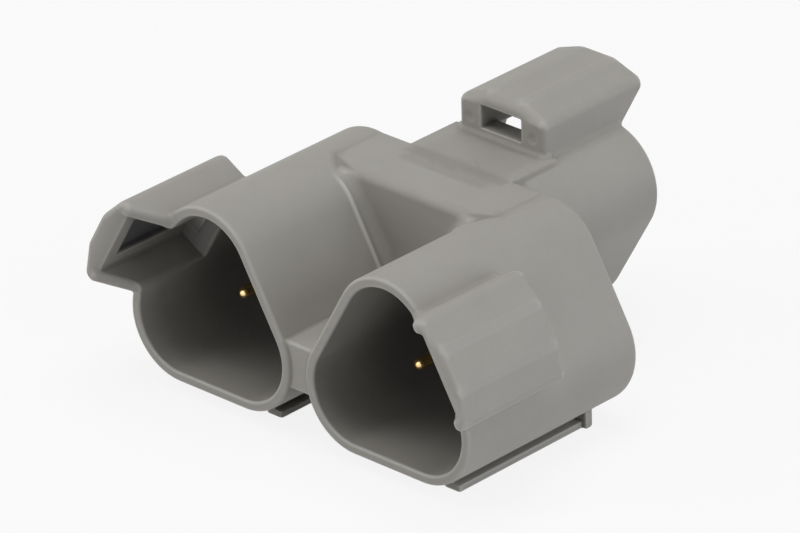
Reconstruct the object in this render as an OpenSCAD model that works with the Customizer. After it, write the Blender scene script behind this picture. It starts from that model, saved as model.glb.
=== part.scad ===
// Sealed three-way branch connector: two receptacles at the front and one at the back,
// moulded as one grey housing around gold pins that three flat bars join inside.

/* [Receptacle shell] */
// Width of a shell over its rounded corners
shell_w = 26; // [23:0.5:30]
// Outer radius of the three corners
corner_r = 7.6; // [6.5:0.1:8.5]
// Wall of a shell
wall = 1.3; // [1:0.1:1.8]
// Depth of a cavity, from its mouth to its floor
cavity_depth = 21.5; // [18:0.5:25]

/* [Block behind the front shells] */
// Gap between the two front shells at their widest
shell_gap = 2.6; // [1.5:0.1:5]
// Length of the block behind the rear cavity's floor
block_back = 1.9; // [1.6:0.1:3.5]
// Radius along the back edge of the block
back_r = 1.3; // [0.4:0.1:1.6]
// Length of the deck that bridges the two crests
deck_len = 10; // [8.5:0.1:13]
// Depth of the deck below the crests
deck_drop = 0.1; // [0.05:0.05:0.5]
// Radius along the front edge of the deck
deck_edge_r = 1.5; // [0.5:0.1:3]
// Radius of the fillets between the deck's front wall and the shells
valley_r = 1.6; // [0.5:0.1:2.5]
// Height of the web between the front shells
web_h = 6.2; // [3:0.1:8]
// Height of the web's top over the front shells' axes
web_top = 0.5; // [-1:0.1:2]
// Distance of the web behind the front mouths
web_set = 0.4; // [0:0.1:2]

/* [Latch box] */
// Width of a latch box
latch_w = 13.8; // [12.8:0.1:15]
// Height of a latch box over the shell's flat
latch_h = 5.85; // [5.4:0.05:7]
// Reach of the latch box in front of the mouth
latch_reach = 4.3; // [3:0.1:6]
// Depth of the latch box behind the mouth
latch_depth = 13.4; // [12:0.1:16]
// Width of the flat crown on top of the latch box
crown_w = 5.1; // [3:0.1:7]
// Slope of the shoulders beside the crown, in degrees
shoulder_slope = 19; // [10:1:26]
// Radius of the shoulders' outer corners
latch_corner_r = 1.3; // [0.6:0.1:1.6]
// Radius over the closed end of the latch box
latch_end_r = 2; // [0.6:0.1:2.4]
// Rake of the side walls' front edges, in degrees
latch_rake = 45; // [35:1:50]
// Width of the passage for the mating latch
passage_w = 10.4; // [8:0.1:11]
// Height of the passage over the shell's flat
passage_h = 4.1; // [3.4:0.1:4.4]
// Depth of the catch lip below the passage's ceiling
catch_drop = 1.25; // [0.6:0.05:1.6]
// Length of the catch lip's sloping lead-in
catch_lead = 0.9; // [0.4:0.1:1.2]
// Length of the catch lip behind its lead-in
catch_len = 1.9; // [1:0.1:2.4]
// Thickness of the closed end
end_wall = 2.9; // [1.3:0.1:4]
// Width of the window through the closed end
window_w = 6.4; // [4:0.1:8]
// Height of that window
window_h = 3; // [1.5:0.1:3]
// Height of the window's sill over the shell's flat
sill_h = 1; // [0.5:0.1:1.4]
// Width of the flat pad in front of the rear window
pad_w = 16.4; // [14:0.1:17]

/* [Clip rails] */
// Width over the two lips under a front shell
rail_w = 17.2; // [15:0.1:19]
// Height of the rails under the shell's flat
rail_drop = 1.4; // [1.1:0.1:2.5]
// Overhang of each lip
lip_over = 1.2; // [0.6:0.1:1.6]
// Thickness of each lip
lip_t = 0.9; // [0.5:0.1:1]
// Thickness of each rail under the lip's overhang
rail_t = 1.2; // [0.8:0.1:2]
// Distance of the rails behind the mouth
rail_set = 3; // [1:0.1:5]
// Length of the rails, with the stop
rail_len = 22.4; // [16:0.1:23]
// Length of the stop at the back of each rail
stop_len = 1.2; // [0.8:0.1:2.5]
// Reach of the stop past the lip
stop_over = 0.6; // [0.2:0.1:1.2]

/* [Contacts] */
// Diameter of a contact pin
pin_d = 1.57; // [1.2:0.01:2]
// Length of a pin in front of the cavity's floor
pin_out = 11.8; // [9:0.1:14]
// Radius of the circle that the three pins stand on
pin_circle_r = 5; // [4.2:0.1:5.2]
// Diameter of a pin's root, held in the moulding
root_d = 2.2; // [2.1:0.1:2.4]
// Thickness of a bus bar
bar_t = 0.8; // [0.5:0.1:1.2]
// Width of a bus bar
bar_w = 2; // [1.4:0.1:2.2]
// Radius of the eyes that the roots pass through
eye_r = 1.9; // [1.7:0.1:2.1]
// Plastic between neighbouring bars
bar_gap = 0.95; // [0.6:0.05:1.6]
// Plastic between a cavity's floor and the nearest bar
floor_skin = 1; // [0.6:0.1:2]
// Space between the metal and the plastic moulded round it
mould_fit = 0.02; // [0.01:0.01:0.05]

/* [Hidden] */
$fn = 64;
over = 1;
fillet_bite = 0.04;
grey = [0.62, 0.61, 0.58];
gold = [0.86, 0.66, 0.26];
copper = [0.72, 0.45, 0.28];

// The triangle is three corner circles: their distance from the axis, and the flats between them,
// which dip a hair under the circles' common tangents so that each line crosses its arcs cleanly.
flat_dip = 0.01;
corner_dist = (shell_w / 2 - corner_r) / cos(30);
corner_side = 2 * corner_dist * cos(30);
flat_dist = corner_dist / 2 + corner_r - flat_dip;
CORNERS = [30, 150, 270];

// The bars lie in a stack between the floors of the front and rear cavities.
bar_step = bar_t + bar_gap;
septum = 2 * floor_skin + 3 * bar_t + 2 * bar_gap;
half_len = cavity_depth + septum / 2;
block_len = cavity_depth + septum + block_back;
deck_front = block_len - deck_len;

// The front triangles point up and the rear one points down, so its flat is level with the deck.
shell_pitch = shell_w + shell_gap;
front_z = flat_dist + rail_drop;
deck_z = front_z + corner_dist + corner_r - deck_drop;
rear_z = deck_z - flat_dist;

// Each receptacle: name, axis x, mouth y, axis z, turn about Z, roll about its own axis.
LEFT = ["left", -shell_pitch / 2, -half_len, front_z, 0, 60];
RIGHT = ["right", shell_pitch / 2, -half_len, front_z, 0, -60];
REAR = ["rear", 0, half_len, rear_z, 180, 0];
RECEPTACLES = [LEFT, RIGHT, REAR];
FRONT = [LEFT, RIGHT];

// Each circuit: letter, its pin's angle round a receptacle, and its bar's place from the front.
CIRCUITS = [["a", 30, 1], ["b", 270, 0], ["c", 150, 2]];

// Heights in a receptacle's own frame, from its axis outwards.
latch_base = flat_dist - wall;
latch_top = flat_dist + latch_h;
ceiling = flat_dist + passage_h;
lip_level = ceiling - catch_drop;
sill = flat_dist + sill_h;

// Where circuit c's pin of receptacle r crosses a plane of constant y.
function pin_point(r, c) =
    let (a = c[1] + r[5], side = r[4] == 0 ? 1 : -1)
    [r[1] + side * pin_circle_r * cos(a), r[3] + pin_circle_r * sin(a)];

// Length of a root, from the cavity's floor to the far face of its bar.
function root_len(r, c) =
    let (steps = r[4] == 0 ? c[2] : 2 - c[2])
    floor_skin + bar_t + steps * bar_step;

function bar_y(c) = (c[2] - 1) * bar_step;

// Carries a receptacle's own frame, mouth at the origin and opening along +Z with the latch
// on the +Y side, to its place in the part.
module at_receptacle(r) {
    translate([r[1], r[2], r[3]])
        rotate([90, 0, r[4]])
            rotate(r[5])
                children();
}

// Outline of a rounded triangle of corner radius r.
module triangle_outline(r) {
    for (a = CORNERS)
        rotate(a)
            translate([corner_dist, 0])
                circle(r);
    polygon([
        for (a = CORNERS)
            for (s = [-60, 60])
                corner_dist * [cos(a), sin(a)] + (r - flat_dip) * [cos(a + s), sin(a + s)]
    ]);
}

// Rounded triangular bar of corner radius r, from the mouth plane back to len.
module triangle_bar(r, len) {
    translate([0, 0, -len])
        linear_extrude(len)
            triangle_outline(r);
}

// Side view of the block's back, from its middle out to w, with the rounded edge.
module soft_back(w) {
    polygon([
        [0, 0],
        [w - back_r, 0],
        [w, back_r],
        [w, back_r + over],
        [0, back_r + over]
    ]);
    translate([w - back_r, back_r])
        circle(back_r);
}

// Bar of a front receptacle, closed by a back whose edge is rounded; the back is a hair smaller
// than the bar that it is sunk into.
module block_bar() {
    triangle_bar(corner_r, block_len - back_r);
    translate([0, 0, -block_len])
        for (a = CORNERS) {
            rotate(a)
                translate([corner_dist, 0, 0])
                    rotate_extrude()
                        soft_back(corner_r - flat_dip);
            rotate(a + 180)
                translate([0, corner_side / 2, 0])
                    rotate([90, 0, 0])
                        linear_extrude(corner_side)
                            soft_back(flat_dist - flat_dip);
        }
}

// Carries an outline drawn in (depth, height) across the latch box, over the width w.
module across(w) {
    translate([w / 2, 0, 0])
        rotate([0, -90, 0])
            linear_extrude(w)
                children();
}

// Half of a latch box's cross-section: the crown, a sloping shoulder and its rounded corner.
module latch_half() {
    side = latch_w / 2;
    centre = side - latch_corner_r;
    lean = [sin(shoulder_slope), cos(shoulder_slope)] * latch_corner_r;
    fall = (centre + lean[0] - crown_w / 2) * tan(shoulder_slope);
    level = latch_top - fall - lean[1];
    polygon([
        [0, latch_base],
        [0, latch_top],
        [crown_w / 2, latch_top],
        [centre + lean[0], level + lean[1]],
        [side, level],
        [side, latch_base]
    ]);
    translate([centre, level])
        circle(latch_corner_r);
}

// Side of a latch box: raked front edge, and a rounded closed end.
module latch_side() {
    polygon([
        [0, latch_base],
        [latch_reach, latch_base + latch_reach * tan(latch_rake)],
        [latch_reach, latch_top + over],
        [-latch_depth + latch_end_r, latch_top + over],
        [-latch_depth + latch_end_r, latch_top],
        [-latch_depth, latch_top - latch_end_r],
        [-latch_depth, latch_base]
    ]);
    translate([-latch_depth + latch_end_r, latch_top - latch_end_r])
        circle(latch_end_r);
}

module latch_box() {
    intersection() {
        for (s = [0, 1])
            mirror([s, 0, 0])
                translate([0, 0, -latch_depth - over])
                    linear_extrude(latch_depth + latch_reach + 2 * over)
                        latch_half();
        across(latch_w + 2 * over)
            latch_side();
    }
}

// Space under the latch box: lead-in and catch lip at the front, then the passage to the window.
module latch_space() {
    lip_front = latch_reach - catch_lead;
    lip_back = lip_front - catch_len;
    end_face = -latch_depth + end_wall;
    across(passage_w)
        polygon([
            [latch_reach + over, 0],
            [latch_reach + over, ceiling],
            [latch_reach, ceiling],
            [lip_front, lip_level],
            [lip_back, lip_level],
            [lip_back, ceiling],
            [end_face, ceiling],
            [end_face, 0]
        ]);
    across(window_w)
        translate([-latch_depth - over, sill])
            square([end_wall + 2 * over, window_h]);
}

// Deck, seen from the side: rounded along its front and back edges.
module deck_outline() {
    back = block_len - half_len;
    front = deck_front - half_len;
    bottom = front_z + web_top - web_h;
    polygon([
        [front, bottom],
        [back, bottom],
        [back, deck_z - back_r],
        [back - back_r, deck_z],
        [front + deck_edge_r, deck_z],
        [front, deck_z - deck_edge_r]
    ]);
    translate([front + deck_edge_r, deck_z - deck_edge_r])
        circle(deck_edge_r);
    translate([back - back_r, deck_z - back_r])
        circle(back_r);
}

module deck() {
    translate([-shell_pitch / 2, 0, 0])
        rotate([90, 0, 90])
            linear_extrude(shell_pitch)
                deck_outline();
}

// Web that joins the front shells, from near the mouths back to the deck.
module web() {
    translate([-shell_gap / 2 - wall, web_set - half_len, front_z + web_top - web_h])
        cube([shell_gap + 2 * wall, deck_front + over - web_set, web_h]);
}

// Fillet along the flank of front shell r that mirrors its latch's flat, where the deck's front
// wall meets it.
module valley_fillet(r) {
    rotate(90 - 2 * r[5])
        translate([flat_dist, corner_side / 2, -deck_front])
            rotate([90, 0, 0])
                linear_extrude(corner_side)
                    difference() {
                        translate([-wall / 2, -wall / 2])
                            square(valley_r + wall / 2);
                        translate([valley_r, valley_r])
                            circle(valley_r + fillet_bite);
                    }
}

// One rail of the pair under a front shell: a foot, an outward lip and a stop at the back.
module clip_rail() {
    lip_x = rail_w / 2;
    web_x = lip_x - lip_over;
    foot = [-front_z, -flat_dist + wall];
    rotate([90, 0, 0]) {
        translate([0, 0, -rail_len])
            linear_extrude(rail_len)
                polygon([
                    [web_x - rail_t, foot[0]],
                    [lip_x, foot[0]],
                    [lip_x, foot[0] + lip_t],
                    [web_x, foot[0] + lip_t],
                    [web_x, foot[1]],
                    [web_x - rail_t, foot[1]]
                ]);
        translate([0, 0, -rail_len])
            linear_extrude(stop_len)
                polygon([
                    [web_x - rail_t, foot[0]],
                    [lip_x + stop_over, foot[0]],
                    [lip_x + stop_over, foot[1]],
                    [web_x - rail_t, foot[1]]
                ]);
    }
}

module clip_rails(r) {
    translate([r[1], r[2] + rail_set, r[3]])
        for (s = [0, 1])
            mirror([s, 0, 0])
                clip_rail();
}

// Flat pad on the rear shell, between the block and the closed end of the latch box.
module rear_pad() {
    length = 2 * half_len - block_len - latch_depth;
    lap = back_r + over;
    translate([-pad_w / 2, flat_dist - 2 * wall, -latch_depth - length - lap])
        cube([pad_w, 2 * wall, length + lap + over]);
}

module housing_solid() {
    for (r = FRONT) {
        at_receptacle(r) {
            block_bar();
            valley_fillet(r);
        }
        clip_rails(r);
    }
    at_receptacle(REAR) {
        triangle_bar(corner_r, half_len);
        rear_pad();
    }
    for (r = RECEPTACLES)
        at_receptacle(r)
            latch_box();
    deck();
    web();
}

// Room for the pins' roots and the bars, which the plastic is moulded round.
module insert_space() {
    for (c = CIRCUITS) {
        for (r = RECEPTACLES)
            at_receptacle(r)
                rotate(c[1])
                    translate([pin_circle_r, 0, -cavity_depth - root_len(r, c) - mould_fit])
                        cylinder(h = root_len(r, c) + mould_fit + over, d = root_d + 2 * mould_fit);
        bar_slab(c, mould_fit);
    }
}

module housing() {
    color(grey)
        difference() {
            housing_solid();
            for (r = RECEPTACLES)
                at_receptacle(r) {
                    translate([0, 0, over])
                        triangle_bar(corner_r - wall, cavity_depth + over);
                    latch_space();
                }
            insert_space();
        }
}

// Turned pin: a straight contact with a round tip, on a thicker root.
module contact_pin(r, c) {
    tip = pin_d / 2;
    color(gold)
        at_receptacle(r)
            rotate(c[1])
                translate([pin_circle_r, 0, -cavity_depth])
                    rotate_extrude() {
                        translate([0, -root_len(r, c)])
                            square([root_d / 2, root_len(r, c)]);
                        square([tip, pin_out - tip]);
                        translate([0, pin_out - tip])
                            intersection() {
                                circle(tip);
                                square(tip);
                            }
                    }
}

// Outline of a bar, from the left pin past the rear one to the right one, grown by g.
module bar_outline(c, g) {
    stops = [for (r = [LEFT, REAR, RIGHT]) pin_point(r, c)];
    for (p = stops)
        translate(p)
            circle(eye_r + g);
    for (i = [0, 1])
        let (run = stops[i + 1] - stops[i])
        translate(stops[i])
            rotate(atan2(run[1], run[0]))
                translate([0, -bar_w / 2 - g])
                    square([norm(run), bar_w + 2 * g]);
}

module bar_slab(c, g) {
    translate([0, bar_y(c) + bar_t / 2 + g, 0])
        rotate([90, 0, 0])
            linear_extrude(bar_t + 2 * g)
                bar_outline(c, g);
}

// Flat bar that joins one circuit's three pins.
module bus_bar(c) {
    color(copper)
        difference() {
            bar_slab(c, 0);
            for (r = RECEPTACLES)
                translate([pin_point(r, c)[0], 0, pin_point(r, c)[1]])
                    rotate([90, 0, 0])
                        cylinder(h = 2 * half_len, d = root_d + 2 * mould_fit, center = true);
        }
}

housing();
for (c = CIRCUITS) {
    for (r = RECEPTACLES)
        contact_pin(r, c);
    bus_bar(c);
}
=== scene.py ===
# %% [markdown]
# # A sealed branch connector
#
# The object is a grey plastic moulding with three rounded-triangle mouths, two in front and one
# behind, with gold pins inside. The CAD model gives its size and place. This lesson gives it the
# soft edges, the moulded finish and the metal, then sets up a light table and a camera.

import bpy
import numpy as np
from mathutils import Matrix, Vector


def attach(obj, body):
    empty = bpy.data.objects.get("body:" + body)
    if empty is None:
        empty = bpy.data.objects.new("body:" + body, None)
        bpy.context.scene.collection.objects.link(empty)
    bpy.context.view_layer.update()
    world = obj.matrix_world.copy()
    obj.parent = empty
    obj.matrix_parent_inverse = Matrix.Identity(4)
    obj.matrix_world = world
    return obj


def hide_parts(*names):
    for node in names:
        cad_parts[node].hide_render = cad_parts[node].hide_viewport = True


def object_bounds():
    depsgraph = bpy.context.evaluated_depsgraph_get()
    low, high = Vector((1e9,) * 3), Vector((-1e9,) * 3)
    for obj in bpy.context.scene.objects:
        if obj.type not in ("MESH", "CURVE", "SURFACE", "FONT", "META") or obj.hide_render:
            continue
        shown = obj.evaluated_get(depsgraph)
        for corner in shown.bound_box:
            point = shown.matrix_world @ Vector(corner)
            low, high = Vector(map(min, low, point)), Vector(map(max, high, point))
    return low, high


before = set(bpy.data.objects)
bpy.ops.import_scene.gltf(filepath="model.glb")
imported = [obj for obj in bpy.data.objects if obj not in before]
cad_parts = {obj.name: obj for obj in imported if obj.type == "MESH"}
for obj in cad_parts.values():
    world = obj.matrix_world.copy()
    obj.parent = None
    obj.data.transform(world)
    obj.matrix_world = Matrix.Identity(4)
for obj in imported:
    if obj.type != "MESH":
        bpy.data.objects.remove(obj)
cad_low, cad_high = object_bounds()
print("CAD box, mm:", [round(1000 * (b - a), 2) for a, b in zip(cad_low, cad_high)])

# %% [markdown]
# ## Sizes of the moulding
#
# A receptacle is a tube whose outline is a triangle of three corner circles. Its own frame has
# three directions: `a` across the latch, `n` from the axis towards the latch, and `c` out of the
# mouth. All lengths are in millimetres, as on the drawing.

# %% Sizes
SHELL_W, CORNER_R, WALL, CAVITY = 26.0, 7.6, 1.3, 21.5
SEPTUM, BLOCK_BACK, DECK_LEN, DECK_DROP = 6.3, 1.9, 10.0, 0.1
SHELL_GAP, RAIL_DROP = 2.6, 1.4
SIDE = 2 * (SHELL_W / 2 - CORNER_R)
CORNER_DIST = SIDE / np.sqrt(3)
FLAT = CORNER_DIST / 2 + CORNER_R
HALF = CAVITY + SEPTUM / 2
BLOCK = CAVITY + SEPTUM + BLOCK_BACK
PITCH = SHELL_W + SHELL_GAP
FRONT_Z = FLAT + RAIL_DROP
DECK_Z = FRONT_Z + CORNER_DIST + CORNER_R - DECK_DROP
REAR_Z = DECK_Z - FLAT
print(f"front axes at x {PITCH / 2:.2f}, z {FRONT_Z:.2f}; rear axis at z {REAR_Z:.2f} mm")

# %% [markdown]
# ## A moulding as a field of distances
#
# A moulded housing has no sharp edge: every corner has a radius, and every inner corner a fillet.
# Bevelling a mesh of this shape fails where several edges meet. So the housing is written as one
# function of x, y and z that gives the distance to its skin, negative inside. Two such functions
# are joined with a round blend, and the radius of each edge is then a plain number.

# %% Blends between two distances
def both(p, q, r):
    """Where both solids are: the larger distance, with the edge between them rounded to radius r.

    Inside the corner's square of side r, the distance is that to a circle of radius r."""
    corner = np.hypot(np.maximum(p + r, 0), np.maximum(q + r, 0))
    return np.minimum(np.maximum(p, q), -r) + corner


def either(p, q, r):
    """Where either solid is: the smaller distance, with a fillet of radius r in the inner corner."""
    corner = np.hypot(np.maximum(r - p, 0), np.maximum(r - q, 0))
    return np.maximum(np.minimum(p, q), r) - corner


def without(p, q, r):
    """The first solid with the second cut out of it, and the cut's edge rounded to radius r."""
    return both(p, -q, r)


def turn_r(r, degrees):
    """The blend radius that gives the radius r between faces whose normals are this far apart."""
    return r * (1 - np.cos(np.radians(degrees)))


def ramp(t, low, high):
    """Goes smoothly from 0 at low to 1 at high."""
    s = np.clip((t - low) / (high - low), 0, 1)
    return s * s * (3 - 2 * s)


# %% Outlines
def triangle(a, n):
    """Distance to the triangle of the three corner centres, with its flat side towards +n.

    One side is measured, after folding the point across the triangle's own mirror lines."""
    root3, half = np.sqrt(3), SIDE / 2
    px, py = np.abs(a) - half, half / root3 - n
    fold = px + root3 * py > 0
    qx = np.where(fold, (px - root3 * py) / 2, px)
    qy = np.where(fold, (-root3 * px - py) / 2, py)
    qx = qx - np.clip(qx, -2 * half, 0)
    return -np.hypot(qx, qy) * np.sign(qy)


def polygon(u, v, corners):
    """Distance to a closed polygon in the plane (u, v): the nearest side, negative inside."""
    nearest = np.full(u.shape, 1e9, u.dtype)
    inside = np.zeros(u.shape, bool)
    for (u0, v0), (u1, v1) in zip(corners, corners[1:] + corners[:1]):
        du, dv = u1 - u0, v1 - v0
        t = np.clip(((u - u0) * du + (v - v0) * dv) / (du * du + dv * dv), 0, 1)
        nearest = np.minimum(nearest, np.hypot(u - u0 - t * du, v - v0 - t * dv))
        if dv:
            inside ^= ((v0 > v) != (v1 > v)) & (u < u0 + (v - v0) * du / dv)
    return np.where(inside, -nearest, nearest)


def slab(p, low, high):
    """Distance to the space between two parallel planes."""
    return np.abs(p - (low + high) / 2) - (high - low) / 2


# %% [markdown]
# ## The receptacle
#
# Each mouth has a latch box on one flat: a roof on two cheeks, with raked cheek edges, a crown
# and two sloping shoulders. The mating plug's latch slides under the roof, past a catch lip, and
# a window at the closed end lets a tool reach it. The real part shows these edges as soft beads.
# Each face is written as a distance. A cut runs PAST the skin, and joined forms OVERLAP a little,
# so that no two faces lie in one plane by chance.

# %% Latch box and its passage
LATCH_W, LATCH_H, LATCH_REACH, LATCH_DEPTH = 13.8, 5.83, 4.3, 13.4
CROWN_W, SLOPE, SHOULDER_R, END_R = 5.1, 19, 1.3, 1.5
PASSAGE_W, LEDGE_H, CATCH_LEAD, CATCH_LEN = 10.4, 3.05, 0.9, 1.9
END_WALL, SILL_H, WINDOW_W, WINDOW_H = 2.9, 1.0, 6.4, 3.0
CROWN_R, CHEEK_R, END_EDGE_R, EDGE_R, WINDOW_R = 4.5, 0.75, 0.9, 0.4, 0.12
RAKE, RAKE_R, END_BLEND = 45, 1.0, 2.0
MARK_AT, MARK_R, MARK_DEPTH = 5.0, 0.65, 0.12
PAST, OVERLAP = 2.0, 1.0
BASE, LEDGE, TOP = FLAT - WALL, FLAT + LEDGE_H, FLAT + LATCH_H
SILL, END_FACE = FLAT + SILL_H, END_WALL - LATCH_DEPTH


def latch_box(a, n, c):
    """A crowned roof between two sides, which roll over the closed end, with a front raked at 45 degrees.

    The roof rolls over with a wide radius and the sides with a smaller one. Beside its window the
    closed end has two shallow round marks from the mould's ejector pins: the fourth power in the
    exponent gives them a flat bottom."""
    across = np.abs(a) - LATCH_W / 2
    tilt = np.radians(SLOPE)
    shoulder = (np.abs(a) - CROWN_W / 2) * np.sin(tilt) + (n - TOP) * np.cos(tilt)
    roof = both(shoulder, n - TOP, turn_r(CROWN_R, SLOPE))
    profile = both(across, roof, turn_r(SHOULDER_R, 90 - SLOPE))
    mark = np.hypot(np.abs(a) - MARK_AT, n - SILL - WINDOW_H / 3) / MARK_R
    end = -c - LATCH_DEPTH + MARK_DEPTH * np.exp(-mark ** 4)
    box = both(profile, end, END_EDGE_R + (END_R - END_EDGE_R) * ramp(across - roof, 0, -END_BLEND))
    rake = (c - (n - BASE)) / np.sqrt(2)
    return both(box, both(rake, c - LATCH_REACH, turn_r(RAKE_R, RAKE)), CHEEK_R)


def latch_passage(a, n, c):
    """The passage under two ledges with a lead-in at the mouth, and a higher pocket behind the catch.

    The pocket is as wide as the window, because one core that is drawn out backwards shapes both."""
    catch = LATCH_REACH - CATCH_LEAD
    side = polygon(c, n, [(LATCH_REACH + PAST, 0), (LATCH_REACH + PAST, LEDGE + CATCH_LEAD + PAST),
                          (catch, LEDGE), (END_FACE, LEDGE), (END_FACE, 0)])
    passage = both(side, np.abs(a) - PASSAGE_W / 2, EDGE_R)
    pocket = both(np.abs(a) - WINDOW_W / 2, slab(n, 0, SILL + WINDOW_H), WINDOW_R)
    pocket = np.maximum(pocket, slab(c, END_FACE + OVERLAP / 2, catch - CATCH_LEN))
    return either(passage, pocket, WINDOW_R)


def latch_window(a, n, c):
    """A rectangular hole with rounded corners, through the closed end."""
    hole = both(np.abs(a) - WINDOW_W / 2, slab(n, SILL, SILL + WINDOW_H), WINDOW_R)
    return np.maximum(hole, slab(c, -LATCH_DEPTH - PAST, END_FACE + OVERLAP))


# %% Shell and cavity
RIM_R, RIM_IN_R, FLOOR_R, BOX_FILLET, TIP_R = 0.4, 0.35, 0.8, 0.7, 0.85
TIP_SHARP, TIP_ROUND, CHEEK_FROM, CHEEK_TO = -9.5, -7.0, -0.2, 1.0


def shell(a, n, c, length, back_r):
    """A rounded-triangle bar from the mouth back, with a soft rim and a soft back edge."""
    bar = both(triangle(a, n) - CORNER_R, c, RIM_R)
    return both(bar, -c - length, back_r)


def cavity(a, n, c):
    """The same outline, one wall smaller, with a rounded floor."""
    return both(triangle(a, n) - (CORNER_R - WALL), -c - CAVITY, FLOOR_R)


def space(a, n, c):
    """The cavity and the latch passage together.

    The tips of wall between them are round at the mouth and sharper farther in."""
    tip = RIM_IN_R + (TIP_R - RIM_IN_R) * ramp(c, TIP_SHARP, TIP_ROUND)
    return either(cavity(a, n, c), latch_passage(a, n, c), tip)


def hollow(body, a, n, c):
    """Cuts the space and the window out of a body; the cheeks' front edges are rounder than the rim."""
    rim = RIM_IN_R + (CHEEK_R - RIM_IN_R) * ramp(c, CHEEK_FROM, CHEEK_TO)
    body = without(body, space(a, n, c), rim)
    return without(body, latch_window(a, n, c), WINDOW_R)


# %% [markdown]
# ## The block, the web and the rails
#
# The front mouths grow out of one block. A deck bridges their crests. Its edge is round where it
# drops into the valley between them, and fillets run down that wall along the flanks. A web joins
# the shells lower down, and two lipped rails under each shell take a mounting clip.

# %% Block, deck, web, pad and rails
DECK_EDGE_R, VALLEY_R, BLOCK_R, BACK_FILLET = 1.5, 1.6, 1.3, 1.6
WEB_H, WEB_TOP, WEB_SET, WEB_FILLET, WEB_R = 6.2, 0.5, 0.4, 0.25, 0.1
RAIL_W, LIP_OVER, LIP_T, RAIL_T = 17.2, 1.2, 0.9, 1.2
RAIL_SET, RAIL_LEN, STOP_LEN, STOP_OVER, RAIL_R = 3.0, 22.4, 1.2, 0.6, 0.15
PAD_W, PAD_R, PAD_FILLET, PAD_IN, RIDGE_H, RIDGE_W = 16.4, 0.1, 0.3, 3.0, 0.2, 0.3
DECK_Y, BACK_Y = BLOCK - DECK_LEN - HALF, BLOCK - HALF
RIDGE_Y = DECK_Y - VALLEY_R


def deck(x, y, z):
    """A bridge between the crests, rounded along its top edges in front and behind."""
    bridge = both(z - DECK_Z, DECK_Y - y, DECK_EDGE_R)
    bridge = both(bridge, y - BACK_Y, BLOCK_R)
    bridge = np.maximum(bridge, FRONT_Z + WEB_TOP - WEB_H - z)
    return np.maximum(bridge, np.abs(x) - PITCH / 2)


def web(x, y, z):
    """A wall across the gap between the front shells."""
    height = slab(z, FRONT_Z + WEB_TOP - WEB_H, FRONT_Z + WEB_TOP)
    wall = both(np.abs(x) - SHELL_GAP / 2 - WALL, height, WEB_R)
    return both(wall, slab(y, WEB_SET - HALF, DECK_Y + OVERLAP), RIM_R)


def clip_rail(dx, y, z):
    """A foot with an outward lip, and a stop across its back end."""
    lip_x = RAIL_W / 2
    foot_x = lip_x - LIP_OVER
    start, end = RAIL_SET - HALF, RAIL_SET + RAIL_LEN - HALF
    foot = both(slab(dx, foot_x - RAIL_T, foot_x), slab(z, 0, RAIL_DROP + WALL), RAIL_R)
    lip = both(slab(dx, foot_x - RAIL_T, lip_x), slab(z, 0, LIP_T), RAIL_R)
    rail = both(np.minimum(foot, lip), slab(y, start, end), RAIL_R)
    stop = both(slab(dx, foot_x - RAIL_T, lip_x + STOP_OVER), slab(z, 0, RAIL_DROP + WALL), RAIL_R)
    stop = both(stop, slab(y, end - STOP_LEN, end), RAIL_R)
    return np.minimum(rail, stop)


def rear_pad(x, y, z):
    """A flat ledge on the rear shell, from the block to the latch box's closed end."""
    pad = both(np.abs(x) - PAD_W / 2, slab(z, DECK_Z - 2 * WALL, DECK_Z), PAD_R)
    return np.maximum(pad, slab(y, BACK_Y - PAD_IN, HALF - LATCH_DEPTH + OVERLAP))


# %% [markdown]
# The forms now become one body. A fillet can't end at once: where it would run out over a crest or
# round a corner, its radius fades to nearly nothing. The distances over which they fade are
# measured from the deck's top and wall, and from the height of the front axes.

# %% The whole housing
SEAM_R, REAR_ROOT_R = 0.01, 0.1
FOOT_LOW, FOOT_HIGH, BROW_HIGH, BROW_LOW = 3.0, 1.0, 0.1, 0.9
WALL_FAR, WALL_NEAR, WEB_FADE, PAD_FADE = 3.0, 1.0, 0.5, 1.0
BACK_HIGH, BACK_LOW = 0.15, 1.2
FLANK_FADE, CREST_DROP = 2.0, 0.4


def mouth_places(x, y, z):
    """The places a, n and c of points in the frames of a front receptacle and of the rear one."""
    dx, dz = x - PITCH / 2, z - FRONT_Z
    front = dx / 2 - dz * np.sqrt(3) / 2, dx * np.sqrt(3) / 2 + dz / 2, -(y + HALF)
    return front, (x, z - REAR_Z, y - HALF)


def valley_side(x, z):
    """One on the flanks that face each other above the web, and nothing elsewhere."""
    facing = ramp(np.abs(x), PITCH / 2, PITCH / 2 - FLANK_FADE)
    below_crest = ramp(z, DECK_Z - CREST_DROP, DECK_Z - FLANK_FADE)
    return facing * below_crest * ramp(z, FRONT_Z - FLANK_FADE, FRONT_Z)


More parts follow.
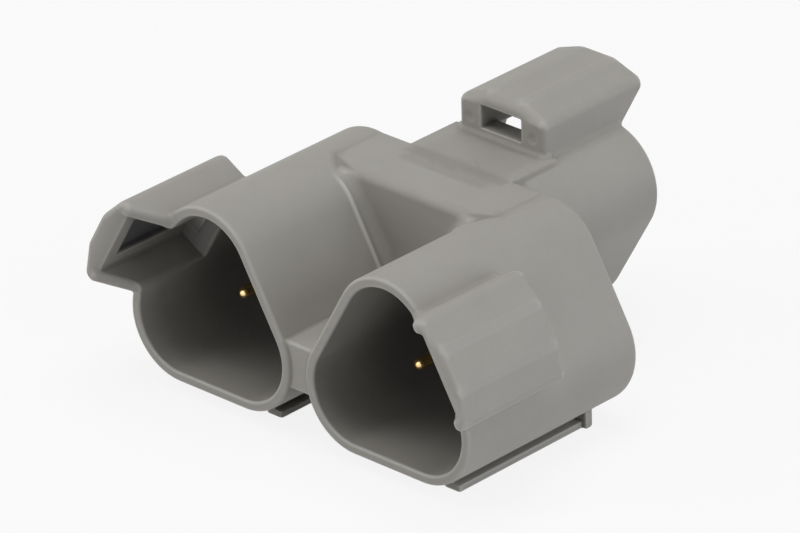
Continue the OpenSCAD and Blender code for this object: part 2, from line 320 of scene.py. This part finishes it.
def housing(x, y, z):
    """Distance to the housing's skin at points in millimetres; it mirrors about x = 0."""
    x = np.abs(x)
    dx = x - PITCH / 2
    at_front, at_rear = mouth_places(x, y, z)
    front = shell(*at_front, BLOCK, BLOCK_R)
    front = front - RIDGE_H * valley_side(x, z) * np.exp(-((y - RIDGE_Y) / RIDGE_W) ** 2)
    fillet = VALLEY_R * ramp(z, FRONT_Z - FOOT_LOW, FRONT_Z - FOOT_HIGH)
    fillet = fillet * ramp(z, DECK_Z - BROW_HIGH, DECK_Z - BROW_LOW)
    fillet = fillet * ramp(y, DECK_Y + WALL_FAR, DECK_Y + WALL_NEAR) + SEAM_R
    body = either(front, deck(x, y, z), fillet)
    body = either(body, web(x, y, z), WEB_FILLET * ramp(y, DECK_Y, DECK_Y - WEB_FADE) + SEAM_R)
    body = either(body, clip_rail(np.abs(dx), y, z), RAIL_R)
    rear = shell(*at_rear, HALF, REAR_ROOT_R)
    rear = either(rear, rear_pad(x, y, z), PAD_FILLET * ramp(x, PAD_W / 2 - PAD_FADE, PAD_W / 2))
    fillet = BACK_FILLET * ramp(z, DECK_Z - BACK_HIGH, DECK_Z - BACK_LOW) + SEAM_R
    body = either(body, rear, fillet)
    for place in (at_front, at_rear):
        body = either(body, latch_box(*place), BOX_FILLET)
    for place in (at_front, at_rear):
        body = hollow(body, *place)
    return body


# %% [markdown]
# ## From the field to a mesh
#
# The field is sampled on a grid. Each grid cell that the skin passes through gets one vertex, at
# the mean of the points where the skin crosses the cell's edges, and each crossed grid edge gets
# one quad between its four cells. The vertices are then moved along the field's slope until the
# distance is zero, so flat walls come out flat and round edges keep their radius.

# %% Sampling the field
STEP, SLICES = 0.22, 12
MARGIN = 4 * STEP
low = np.array([0, 1000 * cad_low[1] - MARGIN, 1000 * cad_low[2] - MARGIN])
high = np.array([1000 * edge + MARGIN for edge in cad_high])
axes = [np.arange(p, q, STEP, dtype=np.float32) for p, q in zip(low, high)]
half_field = np.concatenate([
    housing(*np.meshgrid(axes[0], rows, axes[2], indexing="ij"))
    for rows in np.array_split(axes[1], SLICES)], axis=1)
field = np.concatenate([half_field[:0:-1], half_field])
origin = np.array([-axes[0][-1], axes[1][0], axes[2][0]])
print("grid", field.shape, "cells inside:", int((field < 0).sum()))


# %% Surface from the grid
def surface_net(field, origin, step):
    """One vertex in each crossed cell and one quad round each crossed grid edge."""
    inside = field < 0
    corner = np.array([(i, j, k) for i in (0, 1) for j in (0, 1) for k in (0, 1)])
    cut_to = np.array(field.shape) - 1
    count = sum(inside[tuple(slice(o, o + size) for o, size in zip(offset, cut_to))].astype(np.uint8)
                for offset in corner)
    crossed = (count > 0) & (count < len(corner))
    cells = np.argwhere(crossed)
    number = np.full(crossed.shape, -1, np.int32)
    number[crossed] = np.arange(len(cells))
    value = np.stack([field[tuple((cells + o).T)] for o in corner], axis=1)
    total, hits = np.zeros((len(cells), 3)), np.zeros(len(cells))
    for p in range(len(corner)):
        for q in range(p + 1, len(corner)):
            if np.abs(corner[p] - corner[q]).sum() != 1:
                continue
            vp, vq = value[:, p], value[:, q]
            cut = (vp < 0) != (vq < 0)
            t = np.where(cut, vp / np.where(cut, vp - vq, 1), 0)
            total += np.where(cut[:, None], corner[p] + t[:, None] * (corner[q] - corner[p]), 0)
            hits += cut
    points = origin + step * (cells + total / hits[:, None])
    quads = []
    for axis in range(3):
        u, v = (axis + 1) % 3, (axis + 2) % 3
        near = inside.take(range(field.shape[axis] - 1), axis)
        far = inside.take(range(1, field.shape[axis]), axis)
        edge = np.argwhere(near != far)
        edge = edge[(edge[:, u] > 0) & (edge[:, v] > 0)
                    & (edge[:, u] < field.shape[u] - 1) & (edge[:, v] < field.shape[v] - 1)]
        ring = []
        for du, dv in ((-1, -1), (0, -1), (0, 0), (-1, 0)):
            cell = edge.copy()
            cell[:, u] += du
            cell[:, v] += dv
            ring.append(number[tuple(cell.T)])
        ring = np.stack(ring, axis=1)
        outward = near[tuple(edge.T)]
        quads.append(np.where(outward[:, None], ring, ring[:, ::-1]))
    return points, np.concatenate(quads)


points, quads = surface_net(field, origin, STEP)
print("surface net:", len(points), "vertices,", len(quads), "quads")


# %% Settling the vertices on the skin
PROBE, LEAST_SLOPE = 0.02, 0.25


def slope(p, reach):
    """The field's gradient, from central differences over twice the reach."""
    return np.stack([(housing(*(p + o).T) - housing(*(p - o).T)) / (2 * reach)
                     for o in np.eye(3) * reach], axis=1)


def settle(p, rounds):
    """Moves points along the slope by their distance, so that they end on the skin."""
    for _ in range(rounds):
        g = slope(p, PROBE)
        push = housing(*p.T) / np.maximum((g * g).sum(axis=1), LEAST_SLOPE)
        p = p - np.clip(push, -STEP, STEP)[:, None] * g
    return p


points = settle(points, 3)
print("largest distance left, mm:", round(float(np.abs(housing(*points.T)).max()), 4))


# %% [markdown]
# ## Fewer triangles where the walls are flat
#
# The net has the same density everywhere. The Decimate modifier drops what a flat wall doesn't
# need and keeps the small triangles on the round edges. Afterwards the vertices settle once more,
# and their normals are taken from the field, so that the shading has no ripples.

# %% Housing object
def mesh_object(name, points, faces):
    """An object at the origin whose mesh has these points, in millimetres, and faces."""
    mesh = bpy.data.meshes.new(name)
    mesh.from_pydata(points / 1000, [], faces)
    mesh.validate()
    made = bpy.data.objects.new(name, mesh)
    bpy.context.scene.collection.objects.link(made)
    return made


def mesh_points(mesh):
    """The vertices of a mesh, in millimetres."""
    flat = np.empty(3 * len(mesh.vertices), np.float32)
    mesh.vertices.foreach_get("co", flat)
    return 1000 * flat.reshape(-1, 3).astype(float)


MOST_TRIANGLES = 190000
net = mesh_object("moulded_housing", points, quads)
thin = net.modifiers.new("thin", "DECIMATE")
thin.ratio = min(1, MOST_TRIANGLES / (2 * len(quads)))
bpy.context.view_layer.update()
lean = bpy.data.meshes.new_from_object(net.evaluated_get(bpy.context.evaluated_depsgraph_get()))
net.modifiers.clear()
net.data = lean
lean.name = "moulded_housing"
skin = settle(mesh_points(lean), 2)
lean.vertices.foreach_set("co", (skin / 1000).astype(np.float32).ravel())
lean.polygons.foreach_set("use_smooth", np.ones(len(lean.polygons), bool))
lean.update()
print("housing:", len(lean.vertices), "vertices,", len(lean.polygons), "faces")

# %% [markdown]
# ## What the finish needs to know about the shape
#
# Moulded edges are rubbed a little smoother than the walls and are painted lighter there as a
# highlight, and the inner corners are painted darker as shade. The field's second derivative tells
# both: it is positive on a round edge and negative in a fillet. Inside the mouths the mould's core
# is polished, so that a seal slides well, and the plastic is smoother there; deep inside it is also
# painted darker as shade. A second number tells how deep a point lies. A third marks the flanks of
# the valley, where the mould has left a ridge, which is painted pale as a highlight. All three are
# stored on the vertices for the material to read. The pad's low step gets no painted highlight and
# no smoother skin.

# %% Edge attribute
EDGE_REACH, FULL_BEND = 0.35, 3.0
around = sum(housing(*(skin + s * o).T) for o in np.eye(3) * EDGE_REACH for s in (1, -1))
bend = (around - 6 * housing(*skin.T)) / EDGE_REACH ** 2
on_pad = rear_pad(*skin.T) < EDGE_REACH
bend = np.where(on_pad, np.minimum(bend, 0), bend)
print("bend from", round(float(bend.min()), 2), "to", round(float(bend.max()), 2), "per mm")


# %% Core attribute
SKIN_NEAR, SKIN_FAR = 0.1, 0.5
CORE_FROM, CORE_TO, CORE_SHARE = 4.0, 15.0, 0.8
POCKET_IN, POCKET_FADE = 2.0, 0.5


def core_depth(x, y, z):
    """From 0 outside and at a rim to 0.8 at a cavity's far end, and to 1 up in a latch pocket."""
    depth = np.zeros(len(x))
    for a, n, c in mouth_places(np.abs(x), y, z):
        inside = 1 - ramp(space(a, n, c), SKIN_NEAR, SKIN_FAR)
        pocket_end = LATCH_REACH - POCKET_IN
        pocket = ramp(n, LEDGE, LEDGE + POCKET_FADE) * ramp(c, pocket_end, pocket_end - POCKET_FADE)
        deep = CORE_SHARE * ramp(-c, CORE_FROM, CORE_TO)
        depth = np.maximum(depth, inside * np.maximum(deep, pocket))
    return depth


core = core_depth(*skin.T)
flanks = valley_side(skin[:, 0], skin[:, 2]) * (core == 0)
for name, number in (("edge", np.clip(bend / FULL_BEND, -1, 1)), ("core", core), ("valley", flanks)):
    lean.attributes.new(name, "FLOAT", "POINT").data.foreach_set("value", number.astype(np.float32))
print("vertices on the core:", int((core > 0).sum()), "and on the flanks:", int((flanks > 0).sum()))

# %% Normals, and the housing's place in the frame
NORMAL_REACH = 0.05
normal = slope(skin, NORMAL_REACH)
normal /= np.linalg.norm(normal, axis=1, keepdims=True)
lean.normals_split_custom_set_from_vertices(normal)
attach(net, "root")
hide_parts("housing")
print("normals set on", len(normal), "vertices")

# %% [markdown]
# ## The contact pins
#
# A contact is turned from bar and gold plated: a straight shank, a round nose, and a thicker root
# where the plastic holds it. A turned thing is a profile carried round an axis, so the surface is
# a function of the place along the profile and of the angle.

# %% Pins
PIN_D, PIN_OUT, PIN_CIRCLE, ROOT_D, ROOT_SHOWS = 1.57, 11.8, 5.0, 2.2, 0.15
ROOT_IN, ROOT_EDGE, STEP_EDGE = 1.6, 0.1, 0.05
PIN_TURN, NOSE_RINGS = 48, 13


def turned(profile, centre, direction, name):
    """Radius and height along the profile, carried round the axis; closed by a point at each end."""
    angle = np.linspace(0, 2 * np.pi, PIN_TURN, endpoint=False)
    r, h = profile[1:-1, 0], profile[1:-1, 1]
    ring = np.stack([np.outer(r, np.cos(angle)), np.outer(r, np.sin(angle)),
                     np.outer(h, np.ones(PIN_TURN))], axis=-1).reshape(-1, 3)
    ends = np.array([[0, 0, profile[0, 1]], [0, 0, profile[-1, 1]]])
    local = np.concatenate([ring, ends])
    placed = np.stack([centre[0] + direction * local[:, 0],
                       centre[1] - direction * local[:, 2],
                       centre[2] + local[:, 1]], axis=1)
    i, j = np.meshgrid(np.arange(len(r) - 1), np.arange(PIN_TURN), indexing="ij")
    k = (j + 1) % PIN_TURN
    here, above = i * PIN_TURN, (i + 1) * PIN_TURN
    side = np.stack([here + j, here + k, above + k, above + j], axis=-1)
    turn = np.arange(PIN_TURN)
    after = (turn + 1) % PIN_TURN
    last = (len(r) - 1) * PIN_TURN
    low_end = np.stack([after, turn, np.full(PIN_TURN, len(ring))], axis=1)
    high_end = np.stack([last + turn, last + after, np.full(PIN_TURN, len(ring) + 1)], axis=1)
    faces = side.reshape(-1, 4).tolist() + low_end.tolist() + high_end.tolist()
    pin = mesh_object(name, placed, faces)
    pin.data.polygons.foreach_set("use_smooth", np.ones(len(pin.data.polygons), bool))
    return pin


nose = np.linspace(0, np.pi / 2, NOSE_RINGS)[:-1]
nose_r, nose_h = PIN_D / 2 * np.cos(nose), PIN_OUT - PIN_D / 2 + PIN_D / 2 * np.sin(nose)
root = [(0, -ROOT_IN), (ROOT_D / 2, -ROOT_IN), (ROOT_D / 2, ROOT_SHOWS - ROOT_EDGE),
        (ROOT_D / 2 - ROOT_EDGE, ROOT_SHOWS), (PIN_D / 2 + STEP_EDGE, ROOT_SHOWS),
        (PIN_D / 2, ROOT_SHOWS + STEP_EDGE)]
profile = np.array(root + list(zip(nose_r, nose_h)) + [(0, PIN_OUT)])
mouths = (("left", -PITCH / 2, FRONT_Z, 1, 60),
          ("right", PITCH / 2, FRONT_Z, 1, -60),
          ("rear", 0, REAR_Z, -1, 0))
pins = []
for mouth, x, z, direction, roll in mouths:
    for letter, place in (("a", 30), ("b", 270), ("c", 150)):
        turn = np.radians(place + roll)
        centre = (x + direction * PIN_CIRCLE * np.cos(turn), direction * (CAVITY - HALF),
                  z + PIN_CIRCLE * np.sin(turn))
        pin = turned(profile, centre, direction, f"contact_{mouth}_{letter}")
        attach(pin, "root")
        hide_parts(f"pin_{mouth}_{letter}")
        pins.append(pin)
print(len(pins), "pins of", len(pins[0].data.polygons), "faces")


# %% [markdown]
# ## Writing materials as sums
#
# A material is a small calculation at each point of the skin. A class that wraps a node's output
# lets it be written with +, - and *, and one method adds any other node with its settings.

# %% Shader helpers
class Value:
    """A socket that can be used in arithmetic: each operator adds a Math node."""

    def __init__(self, tree, socket):
        self.tree, self.socket = tree, socket

    def node(self, kind, settings=None, **sockets):
        """Adds a node of this kind, sets its settings, then its sockets by name, or by number as i0, i1."""
        made = self.tree.nodes.new(kind)
        for key, setting in (settings or {}).items():
            setattr(made, key, setting)
        for key, value in sockets.items():
            by_number = key[0] == "i" and key[1:].isdigit()
            slot = made.inputs[int(key[1:]) if by_number else key.replace("_", " ")]
            if isinstance(value, Value):
                self.tree.links.new(value.socket, slot)
            else:
                slot.default_value = value
        return made

    def out(self, kind, settings=None, output=0, **sockets):
        """The same, as a value that can be used in the next expression."""
        return Value(self.tree, self.node(kind, settings, **sockets).outputs[output])

    def blend(self, first, last):
        """A colour between the two, by this value from 0 to 1; each is a value or three numbers."""
        first, last = (c if isinstance(c, Value) else (*c, 1) for c in (first, last))
        return self.out("ShaderNodeMix", {"data_type": "RGBA"}, 2, i0=self, i6=first, i7=last)

    def math(self, operation, *others, clamp=False):
        """A Math node on this value and the others."""
        return self.out("ShaderNodeMath", {"operation": operation, "use_clamp": clamp},
                        **{f"i{i}": v for i, v in enumerate((self,) + others)})

    def __add__(self, other):
        return self.math("ADD", other)

    def __mul__(self, other):
        return self.math("MULTIPLY", other)

    def __sub__(self, other):
        return self.math("SUBTRACT", other)

    def __rsub__(self, other):
        return (self * -1.0) + other

    __radd__, __rmul__ = __add__, __mul__


def material(name):
    """A new material: its shader node, and a value of the Object coordinates to start from."""
    made = bpy.data.materials.new(name)
    made.use_nodes = True
    shader = made.node_tree.nodes["Principled BSDF"]
    coordinates = made.node_tree.nodes.new("ShaderNodeTexCoord")
    return made, shader, Value(made.node_tree, coordinates.outputs["Object"])


def feed(shader, **sockets):
    """Links values to the shader's sockets, or sets plain numbers and colours on them."""
    for key, value in sockets.items():
        slot = shader.inputs[key.replace("_", " ")]
        if isinstance(value, Value):
            value.tree.links.new(value.socket, slot)
        else:
            slot.default_value = value


# %% [markdown]
# ## Grey moulded plastic
#
# The housing is a filled engineering plastic: a warm light grey, matt from the mould's fine
# texture, a little smoother where edges are rubbed and painted paler there as a highlight, and
# painted darker as shade in nooks and deep inside the mouths. Rubbing and its painted highlight
# start at radii under about 1.2 mm, and the painted shade at fillets under about 2.3 mm. A pale
# painted highlight runs along the ridge in the valley.
# Wide soft clouds show how the melt flowed. The texture is fine noise in the normal, with a weaker
# share in the roughness.

# %% Plastic
GREY_DARK, GREY_LIGHT = (0.255, 0.242, 0.218), (0.355, 0.341, 0.313)
# The first colour is a painted highlight on round edges, the second painted shade in nooks.
EDGE_HIGHLIGHT_GREY, NOOK_SHADE_GREY = (0.47, 0.46, 0.44), (0.15, 0.14, 0.125)
# The first colour is a painted highlight on the valley's ridge, the second painted shade deep in the
# mouths.
RIDGE_HIGHLIGHT_GREY, DEEP_SHADE_GREY = (0.6, 0.59, 0.57), (0.115, 0.117, 0.12)
plastic, shader, place = material("grey_moulded_plastic")
edge, core, valley = (place.out("ShaderNodeAttribute", {"attribute_name": name}, "Fac")
                      for name in ("edge", "core", "valley"))
cloud = place.out("ShaderNodeTexNoise", Vector=place, Scale=140.0, Detail=3.0, Roughness=0.6)
speck = place.out("ShaderNodeTexNoise", Vector=place, Scale=2600.0, Detail=2.0, Roughness=0.6)
grain = place.out("ShaderNodeTexNoise", Vector=place, Scale=5200.0, Detail=2.0, Roughness=0.7)
# Round edges get a smoother skin and a lighter colour, which is a painted highlight.
rub_and_highlight = (edge * 1.4 - 0.4).math("MAXIMUM", 0.0)
# Fillets and nooks get a darker colour, which is painted shade.
nook_shade = (edge * -1.4 - 0.2).math("MAXIMUM", 0.0)
tone = ((cloud - 0.5) * 0.4 + (speck - 0.5) * 0.25).math("ADD", 0.5, clamp=True)
colour = (rub_and_highlight * 0.42).blend(tone.blend(GREY_DARK, GREY_LIGHT), EDGE_HIGHLIGHT_GREY)
colour = (nook_shade * 0.5).blend(colour, NOOK_SHADE_GREY)
# A pale line along the ridge on the valley's flanks is a painted highlight.
across = (place.out("ShaderNodeSeparateXYZ", None, 1, Vector=place) - RIDGE_Y / 1000) * (1000 / RIDGE_W)
ridge_highlight = (across * across * -1.0).math("EXPONENT") * valley
# Deep in the mouths and up in the latch pockets the colour is painted darker as shade.
colour = core.blend((ridge_highlight * 0.6).blend(colour, RIDGE_HIGHLIGHT_GREY), DEEP_SHADE_GREY)
bump = place.out("ShaderNodeBump", Strength=0.22, Distance=0.00012, Height=grain * 0.6 + speck * 0.4)
rough = 0.56 + (speck - 0.5) * 0.2 - rub_and_highlight * 0.12 - core * 0.1
feed(shader, Base_Color=colour, Roughness=rough, Normal=bump, Specular_IOR_Level=0.4)
net.data.materials.clear()
net.data.materials.append(plastic)
print("plastic:", len(plastic.node_tree.nodes), "nodes")

# %% [markdown]
# ## Gold and copper
#
# Gold plate on a turned pin keeps fine rings from the lathe. The bars inside the block are bare
# copper strip, with the streaks of rolling along them and a few darker clouds.

# %% Metals
GOLD_DARK, GOLD_LIGHT = (0.8, 0.5, 0.17), (0.98, 0.76, 0.4)
COPPER_DARK, COPPER_LIGHT = (0.48, 0.21, 0.11), (0.86, 0.48, 0.3)
gold, shader, place = material("gold_plate")
ring = place.out("ShaderNodeTexWave", {"wave_type": "BANDS", "bands_direction": "Y"},
                 1, Vector=place, Scale=2200.0, Distortion=1.5, Detail=2.0)
spot = place.out("ShaderNodeTexNoise", Vector=place, Scale=900.0, Detail=3.0)
colour = spot.blend(GOLD_DARK, GOLD_LIGHT)
bump = place.out("ShaderNodeBump", Strength=0.1, Distance=0.00002, Height=ring)
feed(shader, Base_Color=colour, Metallic=1.0, Roughness=0.1 + spot * 0.1, Normal=bump)
for pin in pins:
    pin.data.materials.append(gold)

copper, shader, place = material("copper_strip")
rolled = place.out("ShaderNodeMapping", Vector=place, Scale=(120.0, 4000.0, 2600.0))
streak = place.out("ShaderNodeTexNoise", Vector=rolled, Scale=1.0, Detail=3.0)
cloud = place.out("ShaderNodeTexNoise", Vector=place, Scale=260.0, Detail=3.0)
colour = (cloud * 0.6 + streak * 0.4).blend(COPPER_DARK, COPPER_LIGHT)
feed(shader, Base_Color=colour, Metallic=1.0, Roughness=0.28 + streak * 0.2)
for letter in "abc":
    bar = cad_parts[f"bus_bar_{letter}"]
    bar.data.materials.clear()
    bar.data.materials.append(copper)
print("gold:", len(gold.node_tree.nodes), "nodes; copper:", len(copper.node_tree.nodes), "nodes")

# %% [markdown]
# ## Light table and camera
#
# The part lies on a white table between four soft boxes: a wide one overhead, one on the right, and
# two weaker ones in front and on the left. Some light also comes from the ceiling and the back of
# the room. The mouths face its darker side, so they stay deep. To the camera and to the metal the
# table and the room show white, and the table keeps a faint shadow.

# %% Table
TABLE_HALF, TABLE_Z, SEEN_SHARE = 900, -0.02, 0.86
corners = np.array([(TABLE_HALF * i, TABLE_HALF * j, TABLE_Z)
                    for i, j in ((-1, -1), (1, -1), (1, 1), (-1, 1))])
table = mesh_object("light_table", corners, [(0, 1, 2, 3)])
white, shader, place = material("white_table")
feed(shader, Base_Color=(0.7, 0.7, 0.7, 1), Roughness=0.8)


def seen_rays(tree):
    """One for the rays that see the background as a picture: camera, glossy and transmission rays."""
    rays = tree.nodes.new("ShaderNodeLightPath").outputs
    camera, glossy, through = (Value(tree, rays[f"Is {kind} Ray"])
                               for kind in ("Camera", "Glossy", "Transmission"))
    return (camera + glossy + through).math("MINIMUM", 1.0)


nodes, links = white.node_tree.nodes, white.node_tree.links
glow = place.node("ShaderNodeEmission", Color=(1, 1, 1, 1), Strength=1.0)
mix = place.node("ShaderNodeMixShader", Fac=seen_rays(white.node_tree) * SEEN_SHARE)
links.new(shader.outputs[0], mix.inputs[1])
links.new(glow.outputs[0], mix.inputs[2])
links.new(mix.outputs[0], nodes["Material Output"].inputs["Surface"])
table.data.materials.append(white)

# %% Light from the room
ROOM_LIGHT, ROOM_SIDE = 0.3, (0, 0.5, 0.87)
world = bpy.data.worlds.new("studio")
bpy.context.scene.world = world
world.use_nodes = True
sky = world.node_tree.nodes["Background"]
way = Value(world.node_tree, world.node_tree.nodes.new("ShaderNodeTexCoord").outputs["Generated"])
rise = way.out("ShaderNodeVectorMath", {"operation": "DOT_PRODUCT"}, 1, i0=way, i1=ROOM_SIDE)
room = rise.out("ShaderNodeMapRange", {"interpolation_type": "SMOOTHSTEP"}, Value=rise,
                From_Min=0.2, From_Max=0.9, To_Min=0.0, To_Max=ROOM_LIGHT)
seen = seen_rays(world.node_tree)
feed(sky, Color=(1, 1, 1, 1), Strength=seen + (1.0 - seen) * room)


# %% Soft boxes
def soft_box(name, place, size, power, tint=(1, 1, 1)):
    """A square area lamp that faces the part; place and size in metres, power in watts."""
    lamp = bpy.data.lights.new(name, "AREA")
    lamp.size, lamp.energy, lamp.color = size, power, tint
    made = bpy.data.objects.new(name, lamp)
    made.location = place
    from_part = Vector(place) - Vector((0, 0, FRONT_Z / 1000))
    made.rotation_euler = from_part.to_track_quat("Z", "Y").to_euler()
    bpy.context.scene.collection.objects.link(made)


soft_box("overhead", (0, 0, 0.7), 0.5, 2.6)
soft_box("right", (0.65, 0.1, 0.2), 0.5, 2.4, tint=(0.92, 0.95, 1))
soft_box("left", (-0.5, -0.4, 0.3), 0.4, 1.6)
soft_box("front", (0, -0.65, 0.25), 0.4, 0.9)
print(len(bpy.data.lights), "soft boxes")

# %% [markdown]
# The camera stands far off with a long lens, as product photographs are taken, so that edges that
# are parallel on the part stay nearly parallel in the picture.

# %% Camera
PHOTO_W, FOCAL_PX, DISTANCE, SENSOR = 800, 8000.0, 934.0, 36.0
AIM_RIGHT_PX, AIM_UP_PX = 103.94, 84.1
turn, rise, tilt = np.radians([44.626, 27.102, -1.944])
right = np.array([np.cos(turn), np.sin(turn), 0])
back = np.array([np.sin(turn) * np.cos(rise), -np.cos(turn) * np.cos(rise), np.sin(rise)])
up = np.cross(back, right)
right, up = right * np.cos(tilt) + up * np.sin(tilt), up * np.cos(tilt) - right * np.sin(tilt)
station = back * DISTANCE + (0, -HALF, FRONT_Z)
aim = back * FOCAL_PX - right * AIM_RIGHT_PX - up * AIM_UP_PX
aim /= np.linalg.norm(aim)
right = right - aim * right.dot(aim)
right /= np.linalg.norm(right)
up = np.cross(aim, right)
lens = bpy.data.cameras.new("camera")
lens.sensor_width, lens.lens, lens.clip_end = SENSOR, SENSOR * FOCAL_PX / PHOTO_W, 10.0
camera = bpy.data.objects.new("camera", lens)
rows = [[*p, q] for p, q in zip(np.stack([right, up, aim], axis=1), station / 1000)]
camera.matrix_world = Matrix(rows + [[0, 0, 0, 1]])
bpy.context.scene.collection.objects.link(camera)
bpy.context.scene.camera = camera
bpy.context.scene.view_settings.view_transform = "Standard"
print("camera", round(DISTANCE), "mm away, lens", round(lens.lens), "mm")
